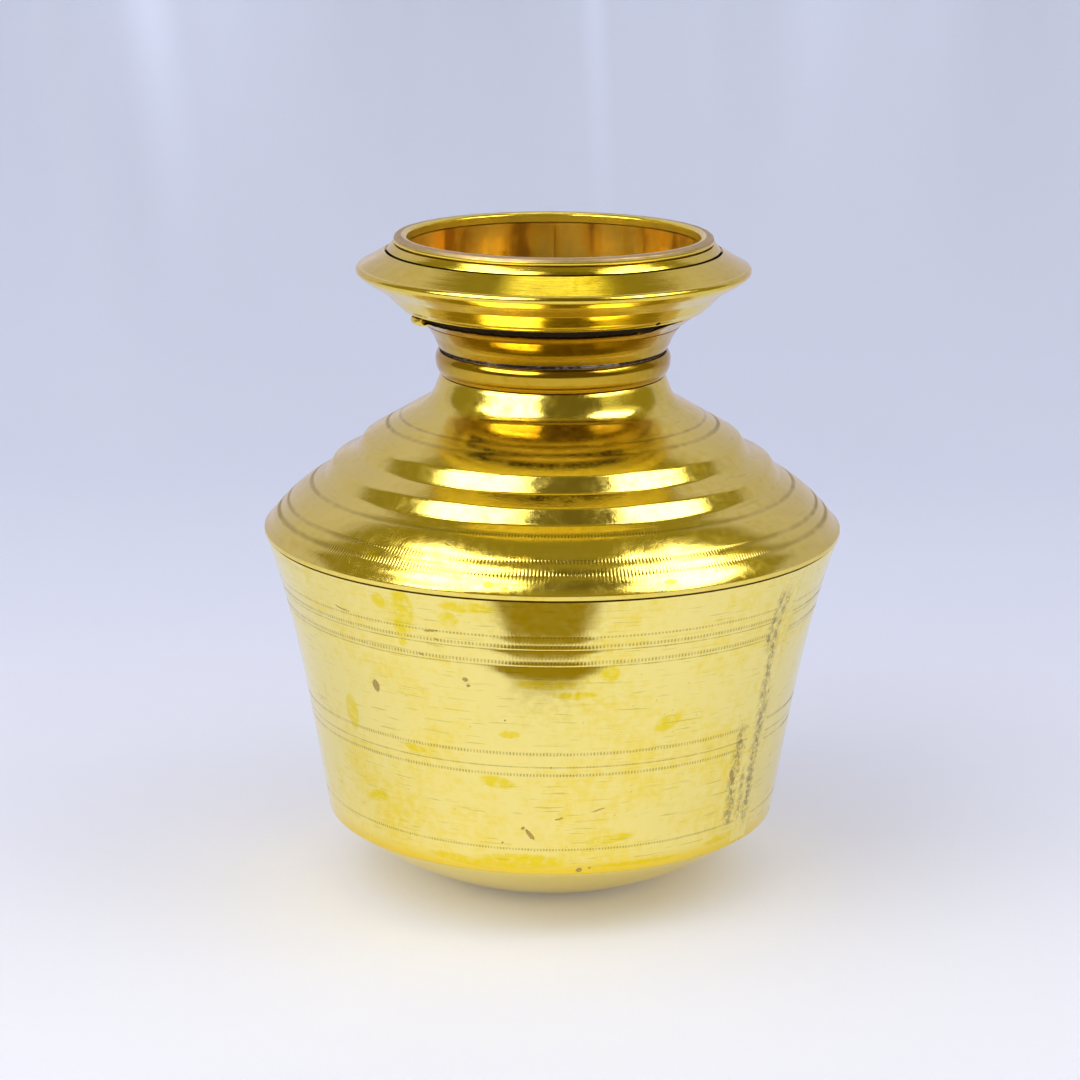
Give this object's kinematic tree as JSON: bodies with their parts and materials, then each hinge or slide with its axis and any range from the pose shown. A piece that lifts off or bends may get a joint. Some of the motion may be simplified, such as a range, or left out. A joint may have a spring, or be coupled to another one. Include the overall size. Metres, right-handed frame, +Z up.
{
  "type": "brass kalash pot",
  "caption": "Round brass water pot with bucket-shaped wall, ridged sloping shoulder, short neck and wide flared rim with a thick mouth lip.",
  "frame": {"origin": "centre of the flat resting spot at the lowest point of the pot", "axes": "+Z up along the pot's axis, front towards -Y, wall seam on the right of the front"},
  "size_m": [0.18, 0.18, 0.2038],
  "materials": {
    "base_brass": "worn satin",
    "wall_brass": "worn satin polish with faint tool lines",
    "seam_braze": "pitted, tarnished",
    "shoulder_brass": "polished, turned",
    "neck_brass": "polished",
    "rim_brass": "turned, fine lathe lines",
    "lip_brass": "matt, worn",
    "liner_brass": "smooth, amber",
    "braze": "rough braze",
    "solder": "dull grey solder"
  },
  "bodies": {
    "root": {"base_dish": "base_brass", "base_braze": "braze", "wall": "wall_brass", "wall_seam": "seam_braze", "shoulder": "shoulder_brass", "shoulder_braze": "braze", "neck_bead": "neck_brass", "neck_solder": "solder", "neck_tube": "neck_brass", "neck_flange": "neck_brass", "rim_shell": "rim_brass", "lip_band": "rim_brass", "lip_ring": "lip_brass", "mouth_liner": "liner_brass"}
  },
  "joints": []
}
